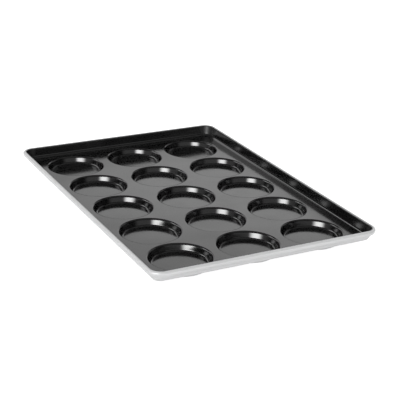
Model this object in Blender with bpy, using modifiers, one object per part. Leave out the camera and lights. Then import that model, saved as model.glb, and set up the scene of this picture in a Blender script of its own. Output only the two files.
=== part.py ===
"""Hamburger bun pan, full sheet size, with fifteen round moulds.

The pan is drawn from one aluminium sheet. A flat deck carries shallow round moulds, its edge
turns up into flared walls, and their top is rolled outward over a steel wire. A black
non-stick film lines the deck, the moulds and the inside of the walls. Each mould is a solid
of its own, parted from the deck at its lip.

The origin is under the middle of the pan, on the plane of the mould floors' undersides.
+X runs along the pan, +Y across it and +Z up. Sizes are in metres.
"""

import math

import bpy
import bmesh
from mathutils import Vector

# Moulds, measured on the lined side
MOULD_ROWS = 5
MOULD_COLUMNS = 3
MOULD_RADIUS = 0.05572
MOULD_DEPTH = 0.013
MOULD_DRAFT = math.radians(19.0)
MOULD_EDGE_BEND = 0.0032
MOULD_FLOOR_FILLET = 0.0042

# Deck: the flat strips between neighbouring moulds, and from the outer moulds to the crease
STRIP_ALONG = 0.003
STRIP_ACROSS = 0.0155
MARGIN_AT_ENDS = 0.0082
MARGIN_AT_SIDES = 0.016
DECK_CORNER_RADIUS = 0.0075

# Walls and rolled rim
RIM_ABOVE_DECK = 0.0212
WALL_FLARE = math.radians(12.0)
CREASE_RADIUS = 0.0065
WIRE_RADIUS = 0.00238
ROLL_STRAIGHT = 0.0024
ROLL_SLIT = 0.0005
FILM_END_BELOW_CREST = math.radians(43.0)

# Materials' thicknesses, and the clearance between pieces that touch
SHEET = 0.001
FILM = 0.0003
CLEARANCE = 0.0003

# Facets
MOULD_FACETS = 24
CORNER_FACETS = 5
BEND_FACETS = 1
CREASE_FACETS = 2
ROLL_FACETS = 7
TUCK_FACETS = 5
ROLL_FILM_FACETS = 2

# How deep the sheet's own faces lie behind the lined face
SHEET_FACE = FILM + CLEARANCE
SHEET_BACK = SHEET_FACE + SHEET

# Levels
FLOOR_Z = SHEET_BACK
DECK_Z = FLOOR_Z + MOULD_DEPTH
RIM_Z = DECK_Z + RIM_ABOVE_DECK

# Radii of a mould, from its lip to the flat of its floor
MOULD_BEND = math.pi / 2 - MOULD_DRAFT
MOULD_EDGE_RADIUS = MOULD_EDGE_BEND + SHEET_BACK
LIP_RADIUS = MOULD_RADIUS + MOULD_EDGE_RADIUS * math.tan(MOULD_BEND / 2)
FLOOR_RADIUS = (
    MOULD_RADIUS
    - MOULD_DEPTH * math.tan(MOULD_DRAFT)
    - MOULD_FLOOR_FILLET * math.tan(MOULD_BEND / 2)
)

# Spacing of the moulds, and half the size of the deck's flat
HOLE_RADIUS = LIP_RADIUS + CLEARANCE
PITCH_ALONG = 2 * HOLE_RADIUS + STRIP_ALONG
PITCH_ACROSS = 2 * HOLE_RADIUS + STRIP_ACROSS
DECK_HALF_LENGTH = (MOULD_ROWS - 1) * PITCH_ALONG / 2 + HOLE_RADIUS + MARGIN_AT_ENDS
DECK_HALF_WIDTH = (MOULD_COLUMNS - 1) * PITCH_ACROSS / 2 + HOLE_RADIUS + MARGIN_AT_SIDES

# Rolled rim
CREASE_BEND = math.pi / 2 - WALL_FLARE
ROLL_RADIUS = WIRE_RADIUS + CLEARANCE + SHEET


def arc(centre, radius, start, end, steps):
    """Points on an arc in a section plane, as pairs of outward distance and height."""
    points = []
    for step in range(steps + 1):
        angle = start + (end - start) * step / steps
        points.append((centre[0] + radius * math.cos(angle), centre[1] + radius * math.sin(angle)))
    return points


def mould_section(depth):
    """The mould's half section from lip to floor, this deep behind the lined face."""
    edge = arc(
        (LIP_RADIUS, DECK_Z - MOULD_EDGE_RADIUS),
        MOULD_EDGE_RADIUS - depth,
        math.pi / 2,
        math.pi / 2 + MOULD_BEND,
        BEND_FACETS,
    )
    fillet = arc(
        (FLOOR_RADIUS, FLOOR_Z + MOULD_FLOOR_FILLET),
        MOULD_FLOOR_FILLET + depth,
        MOULD_BEND - math.pi / 2,
        -math.pi / 2,
        BEND_FACETS,
    )
    return edge + fillet


def roll_centre():
    """Centre of the rolled rim, measured outward from the edge of the deck's flat."""
    behind_wall = SHEET_BACK + CLEARANCE + WIRE_RADIUS
    wall_foot_out = CREASE_RADIUS * math.cos(WALL_FLARE)
    wall_foot_z = DECK_Z + CREASE_RADIUS * (1 - math.sin(WALL_FLARE))
    centre_z = RIM_Z - ROLL_RADIUS
    climb = centre_z - wall_foot_z + behind_wall * math.sin(WALL_FLARE)
    out = wall_foot_out + climb * math.tan(WALL_FLARE) + behind_wall * math.cos(WALL_FLARE)
    return out, centre_z


def wall_section(depth, roll_end, roll_steps):
    """The wall's section from the deck over the crease, up the wall and over the roll."""
    crease = arc(
        (0.0, DECK_Z + CREASE_RADIUS),
        CREASE_RADIUS + depth,
        -math.pi / 2,
        CREASE_BEND - math.pi / 2,
        CREASE_FACETS,
    )
    roll = arc(
        roll_centre(),
        ROLL_RADIUS + SHEET_FACE - depth,
        math.pi - WALL_FLARE,
        roll_end,
        roll_steps,
    )
    return crease + roll


def tuck_section():
    """The sheet's edge, run down beside the wire and tucked in under it, just off the wall."""
    wire_out, wire_z = roll_centre()
    centre = (
        wire_out - ROLL_STRAIGHT * math.sin(WALL_FLARE),
        wire_z - ROLL_STRAIGHT * math.cos(WALL_FLARE),
    )
    reach_to_wall = WIRE_RADIUS + CLEARANCE - ROLL_SLIT
    tuck_end = math.acos(reach_to_wall / ROLL_RADIUS) - math.pi - WALL_FLARE
    return arc(centre, ROLL_RADIUS, -WALL_FLARE, tuck_end, TUCK_FACETS)


def circle_outline(centre_x, centre_y, radius, z):
    """A ring of points round one mould."""
    turn = 2 * math.pi / MOULD_FACETS
    return [
        Vector((
            centre_x + radius * math.cos(turn * step),
            centre_y + radius * math.sin(turn * step),
            z,
        ))
        for step in range(MOULD_FACETS)
    ]


def pan_outline(outward, z):
    """A ring of points round the pan, this far outside the deck's flat."""
    corner_x = DECK_HALF_LENGTH - DECK_CORNER_RADIUS
    corner_y = DECK_HALF_WIDTH - DECK_CORNER_RADIUS
    radius = DECK_CORNER_RADIUS + outward
    points = []
    for quarter, (side_x, side_y) in enumerate(((1, 1), (-1, 1), (-1, -1), (1, -1))):
        for step in range(CORNER_FACETS + 1):
            angle = math.pi / 2 * (quarter + step / CORNER_FACETS)
            points.append(Vector((
                side_x * corner_x + radius * math.cos(angle),
                side_y * corner_y + radius * math.sin(angle),
                z,
            )))
    return points


def mould_places():
    """Row, column and centre of each mould."""
    for row in range(MOULD_ROWS):
        for column in range(MOULD_COLUMNS):
            x = (row - (MOULD_ROWS - 1) / 2) * PITCH_ALONG
            y = (column - (MOULD_COLUMNS - 1) / 2) * PITCH_ACROSS
            yield row + 1, column + 1, x, y


def add_loop(bm, points):
    """Add a closed loop of edges through the points."""
    verts = [bm.verts.new(point) for point in points]
    return [bm.edges.new((verts[index - 1], vert)) for index, vert in enumerate(verts)]


def add_skirt(bm, outlines):
    """Join a run of outlines by bands of faces, and return the first and last loop."""
    loops = [add_loop(bm, outline) for outline in outlines]
    for upper, lower in zip(loops, loops[1:]):
        bmesh.ops.bridge_loops(bm, edges=upper + lower)
    return loops[0], loops[-1]


def face_up(bm, flat_faces):
    """Turn the whole surface so that its flat faces look up."""
    bmesh.ops.recalc_face_normals(bm, faces=bm.faces)
    if sum(face.normal.z for face in flat_faces) < 0:
        bmesh.ops.reverse_faces(bm, faces=bm.faces)


def shade(mesh):
    """Shade round surfaces smooth and keep the folds crisp."""
    mesh.shade_smooth()
    mesh.set_sharp_from_angle(angle=math.radians(50.0))


def mesh_from(bm, name):
    """Make a mesh datablock from the working mesh."""
    mesh = bpy.data.meshes.new(name)
    bm.to_mesh(mesh)
    bm.free()
    shade(mesh)
    return mesh


def thicken(part, thickness):
    """Give a surface its wall, on the side away from its normals."""
    wall = part.modifiers.new("wall", "SOLIDIFY")
    wall.thickness = thickness
    wall.offset = -1
    wall.use_even_offset = True
    wall.use_quality_normals = True


def finish(name, color, roughness, metallic):
    """A plain surface finish."""
    material = bpy.data.materials.new(name)
    material.use_nodes = True
    shader = material.node_tree.nodes["Principled BSDF"]
    shader.inputs["Base Color"].default_value = (*color, 1.0)
    shader.inputs["Roughness"].default_value = roughness
    shader.inputs["Metallic"].default_value = metallic
    return material


def add_part(collection, pan, name, data, material):
    """Place a named part in the pan."""
    part = bpy.data.objects.new(name, data)
    data.materials.clear()
    data.materials.append(material)
    part.parent = pan
    collection.objects.link(part)
    return part


def deck_surface(bm, outline_edges, hole_edges):
    """Fill the deck between the pan's outline and the holes or lips of the moulds."""
    filled = bmesh.ops.triangle_fill(
        bm,
        edges=outline_edges + hole_edges,
        use_beauty=True,
        normal=(0, 0, 1),
    )
    return [item for item in filled["geom"] if isinstance(item, bmesh.types.BMFace)]


def tray_sheet():
    """Deck with a round hole for each mould, flared walls and rolled rim, as one sheet."""
    bm = bmesh.new()
    section = wall_section(SHEET_FACE, -WALL_FLARE, ROLL_FACETS) + tuck_section()
    inner_loop, _ = add_skirt(bm, [pan_outline(outward, z) for outward, z in section])
    holes = []
    for _, _, x, y in mould_places():
        holes += add_loop(bm, circle_outline(x, y, HOLE_RADIUS, DECK_Z - SHEET_FACE))
    face_up(bm, deck_surface(bm, inner_loop, holes))
    return mesh_from(bm, "tray_sheet")


def nonstick_film():
    """The lining over deck, moulds and walls, up to just short of the rim's crest."""
    bm = bmesh.new()
    film_end = math.pi / 2 + FILM_END_BELOW_CREST
    section = wall_section(0.0, film_end, ROLL_FILM_FACETS)
    deck_loop, _ = add_skirt(bm, [pan_outline(outward, z) for outward, z in section])
    lips = []
    for _, _, x, y in mould_places():
        outlines = [circle_outline(x, y, radius, z) for radius, z in mould_section(0.0)]
        lip, floor = add_skirt(bm, outlines)
        bmesh.ops.contextual_create(bm, geom=floor)
        lips += lip
    face_up(bm, deck_surface(bm, deck_loop, lips))
    return mesh_from(bm, "nonstick_film")


def mould():
    """One drawn mould: a closed half section turned about its own upright axis."""
    inside = mould_section(SHEET_FACE)
    outside = mould_section(SHEET_BACK)
    profile = [(0.0, inside[-1][1])] + inside[::-1] + outside + [(0.0, outside[-1][1])]
    bm = bmesh.new()
    verts = [bm.verts.new((radius, 0.0, z)) for radius, z in profile]
    for first, second in zip(verts, verts[1:]):
        bm.edges.new((first, second))
    mesh = bpy.data.meshes.new("mould_profile")
    bm.to_mesh(mesh)
    bm.free()
    turned = bpy.data.objects.new("mould_profile", mesh)
    bpy.context.scene.collection.objects.link(turned)
    screw = turned.modifiers.new("turn", "SCREW")
    screw.axis = "Z"
    screw.steps = MOULD_FACETS
    screw.render_steps = MOULD_FACETS
    screw.use_merge_vertices = True
    screw.merge_threshold = 0.00001
    depsgraph = bpy.context.evaluated_depsgraph_get()
    solid = bpy.data.meshes.new_from_object(turned.evaluated_get(depsgraph))
    bpy.data.objects.remove(turned)
    solid.name = "mould"
    shade(solid)
    return solid


def rim_wire():
    """The steel wire that the rim is rolled over."""
    curve = bpy.data.curves.new("rim_wire", "CURVE")
    curve.dimensions = "3D"
    curve.bevel_depth = WIRE_RADIUS
    curve.bevel_resolution = 2
    path = pan_outline(*roll_centre())
    spline = curve.splines.new("POLY")
    spline.points.add(len(path) - 1)
    for point, place in zip(spline.points, path):
        point.co = (*place, 1.0)
    spline.use_cyclic_u = True
    return curve


def build():
    """Clear the scene and model the pan."""
    for old in list(bpy.data.objects):
        bpy.data.objects.remove(old)
    collection = bpy.data.collections.new("hamburger_bun_pan")
    bpy.context.scene.collection.children.link(collection)
    pan = bpy.data.objects.new("pan", None)
    collection.objects.link(pan)

    aluminium = finish("satin_aluminium", (0.72, 0.73, 0.74), 0.36, 1.0)
    drawn_aluminium = finish("drawn_aluminium", (0.70, 0.71, 0.72), 0.40, 1.0)
    black_film = finish("black_nonstick", (0.018, 0.018, 0.019), 0.28, 0.0)
    steel = finish("galvanised_steel", (0.55, 0.56, 0.58), 0.45, 1.0)

    sheet = add_part(collection, pan, "tray_sheet", tray_sheet(), aluminium)
    thicken(sheet, SHEET)
    film = add_part(collection, pan, "nonstick_film", nonstick_film(), black_film)
    thicken(film, FILM)
    add_part(collection, pan, "rim_wire", rim_wire(), steel)
    drawn = mould()
    for row, column, x, y in mould_places():
        part = add_part(collection, pan, f"mould_{row}_{column}", drawn, drawn_aluminium)
        part.location = (x, y, 0.0)


build()
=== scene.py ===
"""Looks of the hamburger bun pan: bare aluminium pressing, black non-stick lining, studio light."""

import math

import bmesh
import bpy
from mathutils import Matrix, Vector


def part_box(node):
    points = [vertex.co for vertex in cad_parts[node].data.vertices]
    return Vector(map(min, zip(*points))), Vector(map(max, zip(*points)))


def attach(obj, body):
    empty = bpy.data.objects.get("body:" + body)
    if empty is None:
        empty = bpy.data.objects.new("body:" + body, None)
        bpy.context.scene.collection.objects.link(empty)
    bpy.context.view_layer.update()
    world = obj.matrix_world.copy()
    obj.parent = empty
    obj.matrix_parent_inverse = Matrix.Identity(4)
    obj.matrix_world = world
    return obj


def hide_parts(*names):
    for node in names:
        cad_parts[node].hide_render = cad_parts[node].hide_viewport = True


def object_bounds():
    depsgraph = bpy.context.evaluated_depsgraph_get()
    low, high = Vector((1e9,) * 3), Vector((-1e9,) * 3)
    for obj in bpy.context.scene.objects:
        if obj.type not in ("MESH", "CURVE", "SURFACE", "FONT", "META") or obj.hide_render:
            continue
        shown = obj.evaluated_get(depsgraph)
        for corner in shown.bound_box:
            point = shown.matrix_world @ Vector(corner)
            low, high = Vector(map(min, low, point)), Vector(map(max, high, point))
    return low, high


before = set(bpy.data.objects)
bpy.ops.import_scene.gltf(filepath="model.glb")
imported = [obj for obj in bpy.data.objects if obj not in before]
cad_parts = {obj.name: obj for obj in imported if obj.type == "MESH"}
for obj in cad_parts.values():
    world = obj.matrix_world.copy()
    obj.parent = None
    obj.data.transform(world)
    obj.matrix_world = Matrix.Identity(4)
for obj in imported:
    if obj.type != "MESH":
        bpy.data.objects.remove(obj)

cad_low, cad_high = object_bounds()

# Sheet and lining. A depth is how far a face lies behind the nominal surface of the lined side
SHEET = 0.001
SHEET_FACE = 0.0006
SHEET_BACK = SHEET_FACE + SHEET
COAT = 0.00015
COAT_GAP = 0.00002
COAT_FACE = SHEET_FACE - COAT - COAT_GAP

# Moulds
MOULD_DRAFT = math.radians(19.0)
MOULD_EDGE_RADIUS = 0.0032 + SHEET_BACK
MOULD_FILLET = 0.0042
MOULD_BEND = math.pi / 2 - MOULD_DRAFT

# Walls and rolled rim
DECK_CORNER_RADIUS = 0.0075
WALL_FLARE = math.radians(12.0)
CREASE_RADIUS = 0.0065
ROLL_STRAIGHT = 0.0024
ROLL_SLIT = 0.0005
WIRE_CLEARANCE = 0.0003
LINING_ENDS_PAST_CREST = math.radians(6.0)

# Facets, and how near to a bend the flat beside it has its own ring of points
MOULD_FACETS = 96
EDGE_STEPS = 6
FILLET_STEPS = 8
CREASE_STEPS = 8
ROLL_STEPS = 20
TUCK_STEPS = 12
CORNER_STEPS = 14
SUPPORT = 0.0004
CORNER_SUPPORT = 0.003
WELD = 0.00001
SHARP_ANGLE = math.radians(50.0)

# Places and sizes that the frame gives
MOULD_ROWS = 5
MOULD_COLUMNS = 3
first_low, first_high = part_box("mould_1_1")
last_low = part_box(f"mould_{MOULD_ROWS}_{MOULD_COLUMNS}")[0]
sheet_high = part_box("tray_sheet")[1]
wire_low, wire_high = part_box("rim_wire")
LIP_RADIUS = (first_high.x - first_low.x) / 2
PITCH_ALONG = (last_low.x - first_low.x) / (MOULD_ROWS - 1)
PITCH_ACROSS = (last_low.y - first_low.y) / (MOULD_COLUMNS - 1)
FLOOR_Z = first_low.z + SHEET_BACK
DECK_Z = first_high.z + SHEET_FACE
RIM_Z = sheet_high.z
WIRE_RADIUS = (wire_high.z - wire_low.z) / 2
ROLL_RADIUS = WIRE_RADIUS + WIRE_CLEARANCE + SHEET
MOULD_RADIUS = LIP_RADIUS - MOULD_EDGE_RADIUS * math.tan(MOULD_BEND / 2)
FLOOR_RADIUS = (
    MOULD_RADIUS
    - (DECK_Z - FLOOR_Z) * math.tan(MOULD_DRAFT)
    - MOULD_FILLET * math.tan(MOULD_BEND / 2)
)

# Camera, fitted to the photograph's edges. Distances are from the middle of the rim's plane
IMAGE_SIDE = 400
FOCAL_PIXELS = 1098.2
SENSOR = 36.0
CAMERA_AZIMUTH = math.radians(61.797)
CAMERA_ELEVATION = math.radians(22.180)
CAMERA_ROLL = math.radians(1.902)
CAMERA_PLACE = Vector((1.7709, -0.9186, 0.7853 + RIM_Z))


def arc(centre, radius, start, end, steps):
    """Points on an arc in a section plane, as pairs of outward distance and height."""
    points = []
    for step in range(steps + 1):
        angle = start + (end - start) * step / steps
        points.append((centre[0] + radius * math.cos(angle), centre[1] + radius * math.sin(angle)))
    return points


def between(start, end, margin):
    """Two points on a straight run, near its ends, which keep its shading straight."""
    run = (end[0] - start[0], end[1] - start[1])
    share = margin / math.hypot(*run)
    return [
        (start[0] + run[0] * share, start[1] + run[1] * share),
        (end[0] - run[0] * share, end[1] - run[1] * share),
    ]


def mould_section(depth):
    """The mould's half section from the deck over lip, wall and fillet to the floor."""
    edge = arc(
        (LIP_RADIUS, DECK_Z - MOULD_EDGE_RADIUS),
        MOULD_EDGE_RADIUS - depth,
        math.pi / 2,
        math.pi / 2 + MOULD_BEND,
        EDGE_STEPS,
    )
    fillet = arc(
        (FLOOR_RADIUS, FLOOR_Z + MOULD_FILLET),
        MOULD_FILLET + depth,
        MOULD_BEND - math.pi / 2,
        -math.pi / 2,
        FILLET_STEPS,
    )
    deck_side = [(LIP_RADIUS + SUPPORT, DECK_Z - depth)]
    floor_side = [(FLOOR_RADIUS - SUPPORT, FLOOR_Z - depth)]
    return deck_side + edge + between(edge[-1], fillet[0], SUPPORT) + fillet + floor_side


def roll_centre():
    """Centre of the rolled rim, measured outward from the edge of the deck's flat."""
    behind_wall = SHEET_BACK + WIRE_CLEARANCE + WIRE_RADIUS
    foot_out = CREASE_RADIUS * math.cos(WALL_FLARE)
    foot_z = DECK_Z + CREASE_RADIUS * (1 - math.sin(WALL_FLARE))
    centre_z = RIM_Z - ROLL_RADIUS
    climb = centre_z - foot_z + behind_wall * math.sin(WALL_FLARE)
    return foot_out + climb * math.tan(WALL_FLARE) + behind_wall * math.cos(WALL_FLARE), centre_z


def wall_section(depth, roll_end, roll_steps):
    """The section from the deck over the crease, up the wall and over the roll."""
    crease = arc(
        (0.0, DECK_Z + CREASE_RADIUS),
        CREASE_RADIUS + depth,
        -math.pi / 2,
        -WALL_FLARE,
        CREASE_STEPS,
    )
    roll = arc(
        roll_centre(),
        ROLL_RADIUS + SHEET_FACE - depth,
        math.pi - WALL_FLARE,
        roll_end,
        roll_steps,
    )
    deck_side = [(-SUPPORT, DECK_Z - depth)]
    return deck_side + crease + between(crease[-1], roll[0], SUPPORT) + roll


def tuck_section():
    """The roll's outer run down beside the wire, and the edge tucked in under it."""
    wire_out, wire_z = roll_centre()
    centre = (
        wire_out - ROLL_STRAIGHT * math.sin(WALL_FLARE),
        wire_z - ROLL_STRAIGHT * math.cos(WALL_FLARE),
    )
    tuck_end = math.acos((WIRE_RADIUS + WIRE_CLEARANCE - ROLL_SLIT) / ROLL_RADIUS) - math.pi - WALL_FLARE
    return arc(centre, ROLL_RADIUS, -WALL_FLARE, tuck_end, TUCK_STEPS)


DECK_HALF_LENGTH = sheet_high.x - roll_centre()[0] - ROLL_RADIUS
DECK_HALF_WIDTH = sheet_high.y - roll_centre()[0] - ROLL_RADIUS


def pan_outline(outward, z):
    """A ring of points round the pan, this far outside the deck's flat."""
    corner_x = DECK_HALF_LENGTH - DECK_CORNER_RADIUS
    corner_y = DECK_HALF_WIDTH - DECK_CORNER_RADIUS
    radius = DECK_CORNER_RADIUS + outward
    points = []
    for quarter, (side_x, side_y) in enumerate(((1, 1), (-1, 1), (-1, -1), (1, -1))):
        centre = Vector((side_x * corner_x, side_y * corner_y, z))
        start = math.pi / 2 * quarter
        first = centre + Vector((math.cos(start), math.sin(start), 0)) * radius
        last = centre + Vector((-math.sin(start), math.cos(start), 0)) * radius
        points.append(first + Vector((math.sin(start), -math.cos(start), 0)) * CORNER_SUPPORT)
        for step in range(CORNER_STEPS + 1):
            angle = start + math.pi / 2 * step / CORNER_STEPS
            points.append(centre + Vector((math.cos(angle), math.sin(angle), 0)) * radius)
        points.append(last + Vector((-math.cos(start), -math.sin(start), 0)) * CORNER_SUPPORT)
    return points


def circle_outline(centre_x, centre_y, radius, z):
    """A ring of points round one mould."""
    turn = 2 * math.pi / MOULD_FACETS
    return [
        Vector((centre_x + radius * math.cos(turn * k), centre_y + radius * math.sin(turn * k), z))
        for k in range(MOULD_FACETS)
    ]


def mould_places():
    """The centre of each mould."""
    for row in range(MOULD_ROWS):
        for column in range(MOULD_COLUMNS):
            yield (
                (row - (MOULD_ROWS - 1) / 2) * PITCH_ALONG,
                (column - (MOULD_COLUMNS - 1) / 2) * PITCH_ACROSS,
            )


def add_skirt(bm, outlines):
    """Bands of faces between a run of outlines with as many points each. Returns all the rings."""
    rings = [[bm.verts.new(point) for point in outline] for outline in outlines]
    for upper, lower in zip(rings, rings[1:]):
        for k in range(len(upper)):
            bm.faces.new((upper[k - 1], upper[k], lower[k], lower[k - 1]))
    return rings


def ring_edges(bm, ring):
    """The closed loop of edges through a ring of points."""
    pairs = [(ring[k - 1], ring[k]) for k in range(len(ring))]
    return [bm.edges.get(pair) or bm.edges.new(pair) for pair in pairs]


def surface_mesh(bm, name):
    """A mesh from the working mesh, with the flat faces looking up."""
    bmesh.ops.recalc_face_normals(bm, faces=bm.faces)
    if sum(face.normal.z * face.calc_area() for face in bm.faces) < 0:
        bmesh.ops.reverse_faces(bm, faces=bm.faces)
    mesh = bpy.data.meshes.new(name)
    bm.to_mesh(mesh)
    bm.free()
    return mesh


def tray_surface(name, section):
    """Deck with a round hole for each mould, and whatever of walls and rim the section holds."""
    bm = bmesh.new()
    rings = add_skirt(bm, [pan_outline(outward, z) for outward, z in section])
    edges = ring_edges(bm, rings[0])
    for x, y in mould_places():
        hole = [bm.verts.new(p) for p in circle_outline(x, y, LIP_RADIUS + SUPPORT, section[0][1])]
        edges += ring_edges(bm, hole)
    bmesh.ops.triangle_fill(bm, edges=edges, use_beauty=True, normal=(0, 0, 1))
    return surface_mesh(bm, name)


def mould_surface(name, depth):
    """One mould about the origin, from its lip to its closed floor."""
    bm = bmesh.new()
    rings = add_skirt(bm, [circle_outline(0, 0, radius, z) for radius, z in mould_section(depth)])
    bm.faces.new(rings[-1])
    return surface_mesh(bm, name)


class Graph:
    """A node tree under construction, with one method that adds any node."""

    def __init__(self, tree):
        self.tree = tree

    def node(self, kind, settings=(), sockets=()):
        """Add a node: its settings first, then the values or links of its sockets."""
        made = self.tree.nodes.new(kind)
        for name, value in dict(settings).items():
            setattr(made, name, value)
        for key, value in dict(sockets).items():
            self.feed(made.inputs[key], value)
        return made

    def feed(self, socket, value):
        """Set a socket to a value, or link it to another node's output."""
        if isinstance(value, Value):
            value = value.socket
        if isinstance(value, bpy.types.NodeSocket):
            self.tree.links.new(value, socket)
        else:
            socket.default_value = value

    def value(self, kind, settings=(), sockets=(), output=0):
        """Add a node and wrap one of its outputs for arithmetic."""
        return Value(self, self.node(kind, settings, sockets).outputs[output])

    def math(self, operation, *operands):
        """Add a Math node on these operands."""
        return self.value("ShaderNodeMath", {"operation": operation}, dict(enumerate(operands)))


class Value:
    """A number carried by a socket. Arithmetic on it adds Math nodes."""

    def __init__(self, graph, socket):
        self.graph = graph
        self.socket = socket

    def __add__(self, other):
        return self.graph.math("ADD", self, other)

    def __radd__(self, other):
        return self.graph.math("ADD", other, self)

    def __sub__(self, other):
        return self.graph.math("SUBTRACT", self, other)

    def __rsub__(self, other):
        return self.graph.math("SUBTRACT", other, self)

    def __mul__(self, other):
        return self.graph.math("MULTIPLY", self, other)

    def __rmul__(self, other):
        return self.graph.math("MULTIPLY", other, self)

    def __abs__(self):
        return self.graph.math("ABSOLUTE", self)

    def ramp(self, low, high, to_low=0.0, to_high=1.0):
        """This value carried from one range to another, smoothly and clamped."""
        return self.graph.value(
            "ShaderNodeMapRange",
            {"interpolation_type": "SMOOTHSTEP"},
            {"Value": self, "From Min": low, "From Max": high, "To Min": to_low, "To Max": to_high},
            "Result",
        )


def new_material(name):
    """An empty material, its graph and its Principled shader."""
    material = bpy.data.materials.new(name)
    material.use_nodes = True
    graph = Graph(material.node_tree)
    return material, graph, material.node_tree.nodes["Principled BSDF"]


def noise(graph, place, scale, detail=2.0, roughness=0.5):
    """Fractal noise, from 0 to 1, at so many cells a metre."""
    return graph.value(
        "ShaderNodeTexNoise",
        {},
        {"Vector": place, "Scale": scale, "Detail": detail, "Roughness": roughness},
        "Fac",
    )


def mix_colour(graph, factor, first, second):
    """A blend of two colours, given as three numbers or as sockets."""
    full = [(*colour, 1.0) if isinstance(colour, tuple) else colour for colour in (first, second)]
    return graph.node(
        "ShaderNodeMix", {"data_type": "RGBA"}, {"Factor": factor, 6: full[0], 7: full[1]}
    ).outputs[2]


def stretched(graph, place, scale):
    """A place with each axis scaled by its own amount, for streaks."""
    return graph.node("ShaderNodeVectorMath", {"operation": "MULTIPLY"}, {0: place, 1: scale}).outputs[0]


def bumped(graph, height, strength, depth, normal=None):
    """A normal raised by a height, on top of an earlier normal where one is given."""
    sockets = {"Strength": strength, "Distance": depth, "Height": height}
    if normal is not None:
        sockets["Normal"] = normal
    return graph.node("ShaderNodeBump", {}, sockets).outputs["Normal"]


# Black lining: colours, then what each feature adds to the roughness. A noise is its cells a metre,
# its octaves and the share of each finer one, and a bump is its strength and depth
LINING_BLACK = (0.0045, 0.0045, 0.0046)
LINING_HAZED = (0.0075, 0.0075, 0.0075)
LINING_THINNED = (0.42, 0.42, 0.423)
LINING_IOR = 1.8
LINING_ROUGHNESS = 0.115
HAZE_ROUGHNESS = 0.035
GRAIN_ROUGHNESS = 0.015
THINNED_ROUGHNESS = 0.25
CORNER_ROUGHNESS = 0.35
HAZE_NOISE = (14.0, 4.0, 0.6)
HAZE_RANGE = (0.35, 0.7)
GRAIN_NOISE = (900.0, 2.0)
GRAIN_BUMP = (0.06, 0.0002)
WAVE_NOISE = (9.0, 1.0)
WAVE_BUMP = (0.12, 0.004)
WRINKLE_SCALE = (500.0, 500.0, 20.0)
WRINKLE_BUMP = (0.5, 0.0006)
THINNED_HEIGHT = 0.0011

# The sheet isn't quite flat, which only its gloss shows: its right margin rises toward the wall by
# about 1 mm and its rear end falls by about 2 mm
RISE_STARTS_Y = 0.155
RISE_PER_SQUARE = 0.42
RISE_FADES_X = (-0.27, 0.0)
FALL_STARTS_X = -0.15
FALL_PER_SQUARE = 0.09


def nonstick_material():
    """Black semi-gloss lining: orange peel, slow waves and haze, wrinkled corners, thin at the rim."""
    material, graph, shader = new_material("nonstick_coating")
    place = graph.node("ShaderNodeTexCoord").outputs["Object"]
    parts = graph.node("ShaderNodeSeparateXYZ", {}, {0: place}).outputs
    x, y, height = (Value(graph, parts[axis]) for axis in "XYZ")
    haze = noise(graph, place, *HAZE_NOISE).ramp(*HAZE_RANGE)
    grain = noise(graph, place, *GRAIN_NOISE)
    waves = noise(graph, place, *WAVE_NOISE)
    thinned = height.ramp(RIM_Z - THINNED_HEIGHT, RIM_Z)
    corner_at = DECK_HALF_LENGTH + DECK_HALF_WIDTH - DECK_CORNER_RADIUS
    in_corner = (abs(x) + abs(y)).ramp(corner_at, corner_at + DECK_CORNER_RADIUS)
    corner = in_corner * height.ramp(DECK_Z, DECK_Z + CREASE_RADIUS)
    wrinkles = noise(graph, stretched(graph, place, WRINKLE_SCALE), 1.0) * corner
    to_right = graph.math("MAXIMUM", y - RISE_STARTS_Y, 0.0)
    to_rear = graph.math("MAXIMUM", FALL_STARTS_X - x, 0.0)
    rise = RISE_PER_SQUARE * to_right * to_right * x.ramp(*RISE_FADES_X)
    fall = FALL_PER_SQUARE * to_rear * to_rear
    black = mix_colour(graph, haze, LINING_BLACK, LINING_HAZED)
    graph.feed(shader.inputs["Base Color"], mix_colour(graph, thinned, black, LINING_THINNED))
    dull = HAZE_ROUGHNESS * haze + GRAIN_ROUGHNESS * grain
    rough = LINING_ROUGHNESS + dull + THINNED_ROUGHNESS * thinned + CORNER_ROUGHNESS * corner
    graph.feed(shader.inputs["Roughness"], rough)
    shader.inputs["IOR"].default_value = LINING_IOR
    normal = bumped(graph, grain, *GRAIN_BUMP)
    normal = bumped(graph, waves, *WAVE_BUMP, normal)
    normal = bumped(graph, wrinkles, *WRINKLE_BUMP, normal)
    graph.feed(shader.inputs["Normal"], bumped(graph, rise - fall, 1.0, 1.0, normal))
    return material


# Bare aluminium. Its streaks are long along a side and fine across it
METAL_DARK = (0.64, 0.643, 0.647)
METAL_LIGHT = (0.71, 0.713, 0.717)
METAL_SHINE = 0.3
METAL_ROUGHNESS = 0.46
STREAK_ROUGHNESS = 0.10
DULL_ROUGHNESS = 0.08
STREAK_LONG = 6.0
STREAK_FINE = 260.0
STREAK_NOISE = (1.0, 3.0, 0.6)
STREAK_RANGE = (0.3, 0.7)
STREAK_BUMP = (0.15, 0.0002)
DULL_NOISE = (22.0, 3.0, 0.6)
SIDE_BLEND = 0.2


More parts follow.
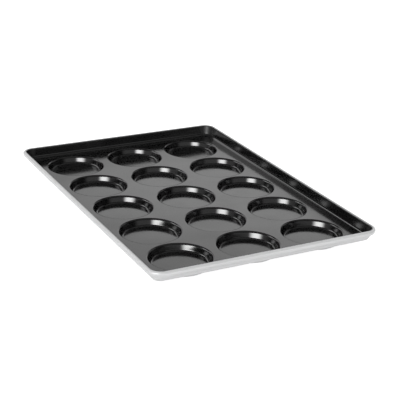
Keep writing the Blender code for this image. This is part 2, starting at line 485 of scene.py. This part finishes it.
def aluminium_material():
    """Bare satin aluminium with faint streaks along the pan's sides."""
    material, graph, shader = new_material("bare_aluminium")
    coordinates = graph.node("ShaderNodeTexCoord").outputs
    place = coordinates["Object"]
    normal = graph.node("ShaderNodeSeparateXYZ", {}, {0: coordinates["Normal"]}).outputs
    across_x = abs(Value(graph, normal["X"]))
    across_y = abs(Value(graph, normal["Y"]))
    on_short_side = (across_x - across_y).ramp(-SIDE_BLEND, SIDE_BLEND)
    long_in_x = stretched(graph, place, (STREAK_LONG, STREAK_FINE, STREAK_FINE))
    long_in_y = stretched(graph, place, (STREAK_FINE, STREAK_LONG, STREAK_FINE))
    along_x = noise(graph, long_in_x, *STREAK_NOISE)
    along_y = noise(graph, long_in_y, *STREAK_NOISE)
    streaks = along_x + (along_y - along_x) * on_short_side
    dull = noise(graph, place, *DULL_NOISE)
    colour = mix_colour(graph, streaks.ramp(*STREAK_RANGE), METAL_DARK, METAL_LIGHT)
    graph.feed(shader.inputs["Base Color"], colour)
    shader.inputs["Metallic"].default_value = METAL_SHINE
    rough = METAL_ROUGHNESS + STREAK_ROUGHNESS * streaks + DULL_ROUGHNESS * dull
    graph.feed(shader.inputs["Roughness"], rough)
    graph.feed(shader.inputs["Normal"], bumped(graph, streaks, *STREAK_BUMP))
    return material


# Galvanised wire
ZINC_DARK = (0.48, 0.49, 0.51)
ZINC_LIGHT = (0.60, 0.61, 0.63)
ZINC_ROUGHNESS = 0.40
MOTTLE_ROUGHNESS = 0.15
MOTTLE_NOISE = (300.0, 3.0)


def wire_material():
    """Dull galvanised steel, with a fine mottle."""
    material, graph, shader = new_material("galvanised_wire")
    place = graph.node("ShaderNodeTexCoord").outputs["Object"]
    mottle = noise(graph, place, *MOTTLE_NOISE)
    graph.feed(shader.inputs["Base Color"], mix_colour(graph, mottle, ZINC_DARK, ZINC_LIGHT))
    shader.inputs["Metallic"].default_value = 1.0
    graph.feed(shader.inputs["Roughness"], ZINC_ROUGHNESS + MOTTLE_ROUGHNESS * mottle)
    return material


def moulds_tree():
    """Geometry nodes that set a mould at each place of a grid, joined to whatever comes in."""
    tree = bpy.data.node_groups.new("moulds in rows", "GeometryNodeTree")
    tree.is_modifier = True
    tree.interface.new_socket("Geometry", in_out="OUTPUT", socket_type="NodeSocketGeometry")
    for name, kind in (
        ("Geometry", "NodeSocketGeometry"),
        ("Mould", "NodeSocketObject"),
        ("Rows", "NodeSocketInt"),
        ("Columns", "NodeSocketInt"),
        ("Length", "NodeSocketFloat"),
        ("Width", "NodeSocketFloat"),
        ("Weld distance", "NodeSocketFloat"),
        ("Material", "NodeSocketMaterial"),
    ):
        tree.interface.new_socket(name, in_out="INPUT", socket_type=kind)
    graph = Graph(tree)
    given = graph.node("NodeGroupInput").outputs
    grid = graph.node(
        "GeometryNodeMeshGrid",
        {},
        {
            "Size X": given["Length"],
            "Size Y": given["Width"],
            "Vertices X": given["Rows"],
            "Vertices Y": given["Columns"],
        },
    )
    mould = graph.node("GeometryNodeObjectInfo", {}, {"Object": given["Mould"]})
    rows = graph.node(
        "GeometryNodeInstanceOnPoints",
        {},
        {"Points": grid.outputs["Mesh"], "Instance": mould.outputs["Geometry"]},
    )
    joined = graph.node("GeometryNodeJoinGeometry")
    graph.feed(joined.inputs["Geometry"], rows.outputs["Instances"])
    graph.feed(joined.inputs["Geometry"], given["Geometry"])
    real = graph.node("GeometryNodeRealizeInstances", {}, {"Geometry": joined.outputs[0]})
    welded = graph.node(
        "GeometryNodeMergeByDistance",
        {},
        {"Geometry": real.outputs[0], "Distance": given["Weld distance"]},
    )
    painted = graph.node(
        "GeometryNodeSetMaterial",
        {},
        {"Geometry": welded.outputs[0], "Material": given["Material"]},
    )
    graph.node("NodeGroupOutput", {}, {"Geometry": painted.outputs[0]})
    return tree


def set_in_rows(piece, tree, mould, material):
    """Give a piece its rows of moulds."""
    modifier = piece.modifiers.new("moulds", "NODES")
    modifier.node_group = tree
    values = {
        "Mould": mould,
        "Rows": MOULD_ROWS,
        "Columns": MOULD_COLUMNS,
        "Length": (MOULD_ROWS - 1) * PITCH_ALONG,
        "Width": (MOULD_COLUMNS - 1) * PITCH_ACROSS,
        "Weld distance": WELD,
        "Material": material,
    }
    for item in tree.interface.items_tree:
        if item.in_out == "INPUT" and item.name in values:
            modifier[item.identifier] = values[item.name]


def thicken(piece, thickness):
    """Give a surface its wall, on the side away from its normals."""
    wall = piece.modifiers.new("wall", "SOLIDIFY")
    wall.thickness = thickness
    wall.offset = -1
    wall.use_even_offset = True
    wall.use_quality_normals = True


def new_piece(name, mesh, material):
    """An object for a mesh, with its material."""
    piece = bpy.data.objects.new(name, mesh)
    bpy.context.scene.collection.objects.link(piece)
    mesh.materials.append(material)
    return piece


def settle(piece):
    """Replace a piece's mesh by what its modifiers make of it, shaded smooth between folds."""
    depsgraph = bpy.context.evaluated_depsgraph_get()
    mesh = bpy.data.meshes.new_from_object(piece.evaluated_get(depsgraph))
    piece.modifiers.clear()
    piece.data = mesh
    mesh.name = piece.name
    mesh.shade_smooth()
    mesh.set_sharp_from_angle(angle=SHARP_ANGLE)
    return piece


def hold(piece, slot, *nodes):
    """Fix a piece to the pan in place of these nodes, and hide those nodes. The slot is not used."""
    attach(piece, "root")
    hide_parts(*nodes)


def pan_pieces():
    """The sheet, the moulds' shells, the lining and the wire."""
    aluminium = aluminium_material()
    coating = nonstick_material()
    tree = moulds_tree()
    mould_nodes = [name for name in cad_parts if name.startswith("mould_")]

    bare_section = wall_section(SHEET_FACE, -WALL_FLARE, ROLL_STEPS) + tuck_section()
    sheet = new_piece("pan_sheet", tray_surface("pan_sheet", bare_section), aluminium)
    thicken(sheet, SHEET)
    hold(settle(sheet), "satin_aluminium", "tray_sheet")

    bare_mould = new_piece("bare_mould", mould_surface("bare_mould", SHEET_FACE), aluminium)
    shells = new_piece("mould_shells", bpy.data.meshes.new("mould_shells"), aluminium)
    set_in_rows(shells, tree, bare_mould, aluminium)
    thicken(shells, SHEET)
    hold(settle(shells), "drawn_aluminium", *mould_nodes)

    lining_end = math.pi / 2 + LINING_ENDS_PAST_CREST
    lined_section = wall_section(COAT_FACE, lining_end, ROLL_STEPS // 2)
    lined_mould = new_piece("lined_mould", mould_surface("lined_mould", COAT_FACE), coating)
    lining = new_piece("lining", tray_surface("lining", lined_section), coating)
    set_in_rows(lining, tree, lined_mould, coating)
    thicken(lining, COAT)
    hold(settle(lining), "black_nonstick", "nonstick_film")

    for pattern in (bare_mould, lined_mould):
        bpy.data.objects.remove(pattern)
    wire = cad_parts["rim_wire"]
    wire.data.materials.clear()
    wire.data.materials.append(wire_material())


# Studio. A soft box that a gloss sees is its radiance, its turn to the right of straight away
# from the camera and the sine of its elevation, the last two as (from, to, softness)
FLOOR_SIZE = 14.0
FLOOR_COLOUR = 0.6
FLOOR_GLOW = 0.8
SKY_LIGHT = 1.1
BACKDROP = (1.27, (-0.45, 0.45, 0.1), (0.23, 0.53, 0.05))
REAR_BOX = (2.4, (-1.50, -1.06, 0.08), (0.42, 0.74, 0.05))
LOW_BOX = (1.2, (-1.14, -0.76, 0.06), (0.37, 0.56, 0.04))
SIDE_BOX = (1.0, (-0.76, -0.28, 0.06), (0.44, 0.61, 0.04))
FAR_BOX = (0.35, (0.5, 1.15, 0.15), (0.40, 0.70, 0.06))
FRONT_FILL = 0.33
FRONT_FILL_BEYOND_TURN = (-1.55, 2.1, 0.2)
FRONT_FILL_HEIGHT = (0.13, 0.52, 0.06)
CEILING = 0.16
CEILING_HEIGHT = (0.70, 0.84)
ROOM = 0.01

# How the backdrop dims: from, to, and its share at each
BACKDROP_FOOT = (0.31, 0.38, 0.66, 1.0)
BACKDROP_HEAD = (0.36, 0.47, 1.0, 0.5)
BACKDROP_LEFT = (-0.2, -0.02, 0.7, 1.0)

# Key light: the ends of its foot on the floor's plan, the heights of its edges, its soft sides' share
KEY_RIGHT_END = (1.73, -0.85)
KEY_LEFT_END = (0.29, -1.70)
KEY_BOTTOM = 0.15
KEY_TOP = 0.89
KEY_RADIANCE = 9.4
KEY_SOFT_SHARE = 0.4


def looking(graph, *kinds):
    """1 for these kinds of ray, 0 for others."""
    path = graph.node("ShaderNodeLightPath").outputs
    count = 0.0
    for kind in kinds:
        count = count + Value(graph, path[kind])
    return graph.math("MINIMUM", count, 1.0)


def studio_floor():
    """A pale floor that keeps the pan's shadow."""
    material, graph, shader = new_material("studio_floor")
    glow = looking(graph, "Is Camera Ray", "Is Glossy Ray", "Is Transmission Ray")
    shader.inputs["Base Color"].default_value = (FLOOR_COLOUR, FLOOR_COLOUR, FLOOR_COLOUR, 1.0)
    shader.inputs["Roughness"].default_value = 1.0
    shader.inputs["Specular IOR Level"].default_value = 0.0
    graph.feed(
        shader.inputs["Emission Color"],
        mix_colour(graph, glow, (0.0, 0.0, 0.0), (1.0, 1.0, 1.0)),
    )
    shader.inputs["Emission Strength"].default_value = FLOOR_GLOW
    material.cycles.emission_sampling = "NONE"
    bm = bmesh.new()
    bmesh.ops.create_grid(bm, x_segments=1, y_segments=1, size=FLOOR_SIZE / 2)
    mesh = bpy.data.meshes.new("studio_floor")
    bm.to_mesh(mesh)
    bm.free()
    floor = new_piece("studio_floor", mesh, material)
    floor.location.z = cad_low.z


def window(value, low, high, soft):
    """1 where a value lies between two ends, 0 beyond them, with a soft step at each."""
    return value.ramp(low - soft, low + soft) * (1.0 - value.ramp(high - soft, high + soft))


def soft_box(turn, height, radiance, turn_range, height_range):
    """What a soft box sends from each direction."""
    return radiance * window(turn, *turn_range) * window(height, *height_range)


def studio_sky():
    """White for the camera and even as a light; a gloss sees a backdrop, soft boxes and a dark room."""
    world = bpy.data.worlds.new("studio")
    bpy.context.scene.world = world
    world.use_nodes = True
    world.cycles.sampling_method = "NONE"
    graph = Graph(world.node_tree)
    direction = graph.node("ShaderNodeTexCoord").outputs["Generated"]
    parts = graph.node("ShaderNodeSeparateXYZ", {}, {0: direction}).outputs
    x, y, height = (Value(graph, parts[axis]) for axis in "XYZ")
    away = y * math.cos(CAMERA_AZIMUTH) - x * math.sin(CAMERA_AZIMUTH)
    aside = x * math.cos(CAMERA_AZIMUTH) + y * math.sin(CAMERA_AZIMUTH)
    turn = graph.math("ARCTAN2", aside, away)
    dimmed = height.ramp(*BACKDROP_FOOT) * height.ramp(*BACKDROP_HEAD) * turn.ramp(*BACKDROP_LEFT)
    shown = ROOM + CEILING * height.ramp(*CEILING_HEIGHT)
    shown = shown + dimmed * soft_box(turn, height, *BACKDROP)
    for box in (REAR_BOX, LOW_BOX, SIDE_BOX, FAR_BOX):
        shown = shown + soft_box(turn, height, *box)
    in_front = 1.0 - window(turn, *FRONT_FILL_BEYOND_TURN)
    shown = shown + FRONT_FILL * in_front * window(height, *FRONT_FILL_HEIGHT)
    in_gloss = looking(graph, "Is Glossy Ray")
    straight = looking(graph, "Is Camera Ray", "Is Transmission Ray")
    other = 1.0 - looking(graph, "Is Camera Ray", "Is Glossy Ray", "Is Transmission Ray")
    background = world.node_tree.nodes["Background"]
    background.inputs["Color"].default_value = (1.0, 1.0, 1.0, 1.0)
    graph.feed(background.inputs["Strength"], in_gloss * shown + straight + other * SKY_LIGHT)


def key_light():
    """An upright soft lamp to the left of the camera, facing the pan. A gloss alone sees it."""
    right_end, left_end = Vector((*KEY_RIGHT_END, 0.0)), Vector((*KEY_LEFT_END, 0.0))
    upward = Vector((0.0, 0.0, 1.0))
    along = (right_end - left_end).normalized()
    facing = along.cross(upward)
    lamp = bpy.data.lights.new("key_light", "AREA")
    lamp.shape = "RECTANGLE"
    lamp.size = (right_end - left_end).length
    lamp.size_y = KEY_TOP - KEY_BOTTOM
    lamp.energy = KEY_RADIANCE * math.pi * lamp.size * lamp.size_y
    lamp.use_nodes = True
    graph = Graph(lamp.node_tree)
    place = graph.node("ShaderNodeNewGeometry").outputs["Parametric"]
    across = Value(graph, graph.node("ShaderNodeSeparateXYZ", {}, {0: place}).outputs["X"])
    lit = across.ramp(0.0, KEY_SOFT_SHARE) * (1.0 - across.ramp(1.0 - KEY_SOFT_SHARE, 1.0))
    graph.feed(lamp.node_tree.nodes["Emission"].inputs["Strength"], lit)
    holder = bpy.data.objects.new("key_light", lamp)
    middle = (right_end + left_end) / 2 + upward * (KEY_TOP + KEY_BOTTOM) / 2
    turn = Matrix((along, upward, facing)).transposed()
    holder.matrix_world = Matrix.Translation(middle) @ turn.to_4x4()
    holder.visible_diffuse = False
    holder.visible_camera = False
    bpy.context.scene.collection.objects.link(holder)


def photo_camera():
    """The camera at the photograph's viewing angle."""
    back = Vector((
        math.sin(CAMERA_AZIMUTH) * math.cos(CAMERA_ELEVATION),
        -math.cos(CAMERA_AZIMUTH) * math.cos(CAMERA_ELEVATION),
        math.sin(CAMERA_ELEVATION),
    ))
    level = Vector((math.cos(CAMERA_AZIMUTH), math.sin(CAMERA_AZIMUTH), 0.0))
    upright = back.cross(level)
    right = level * math.cos(CAMERA_ROLL) + upright * math.sin(CAMERA_ROLL)
    data = bpy.data.cameras.new("photo_camera")
    data.sensor_width = SENSOR
    data.lens = FOCAL_PIXELS * SENSOR / IMAGE_SIDE
    camera = bpy.data.objects.new("photo_camera", data)
    turn = Matrix((right, back.cross(right), back)).transposed()
    camera.matrix_world = Matrix.Translation(CAMERA_PLACE) @ turn.to_4x4()
    bpy.context.scene.collection.objects.link(camera)
    bpy.context.scene.camera = camera


pan_pieces()
studio_floor()
studio_sky()
key_light()
photo_camera()
bpy.context.scene.view_settings.view_transform = "Standard"
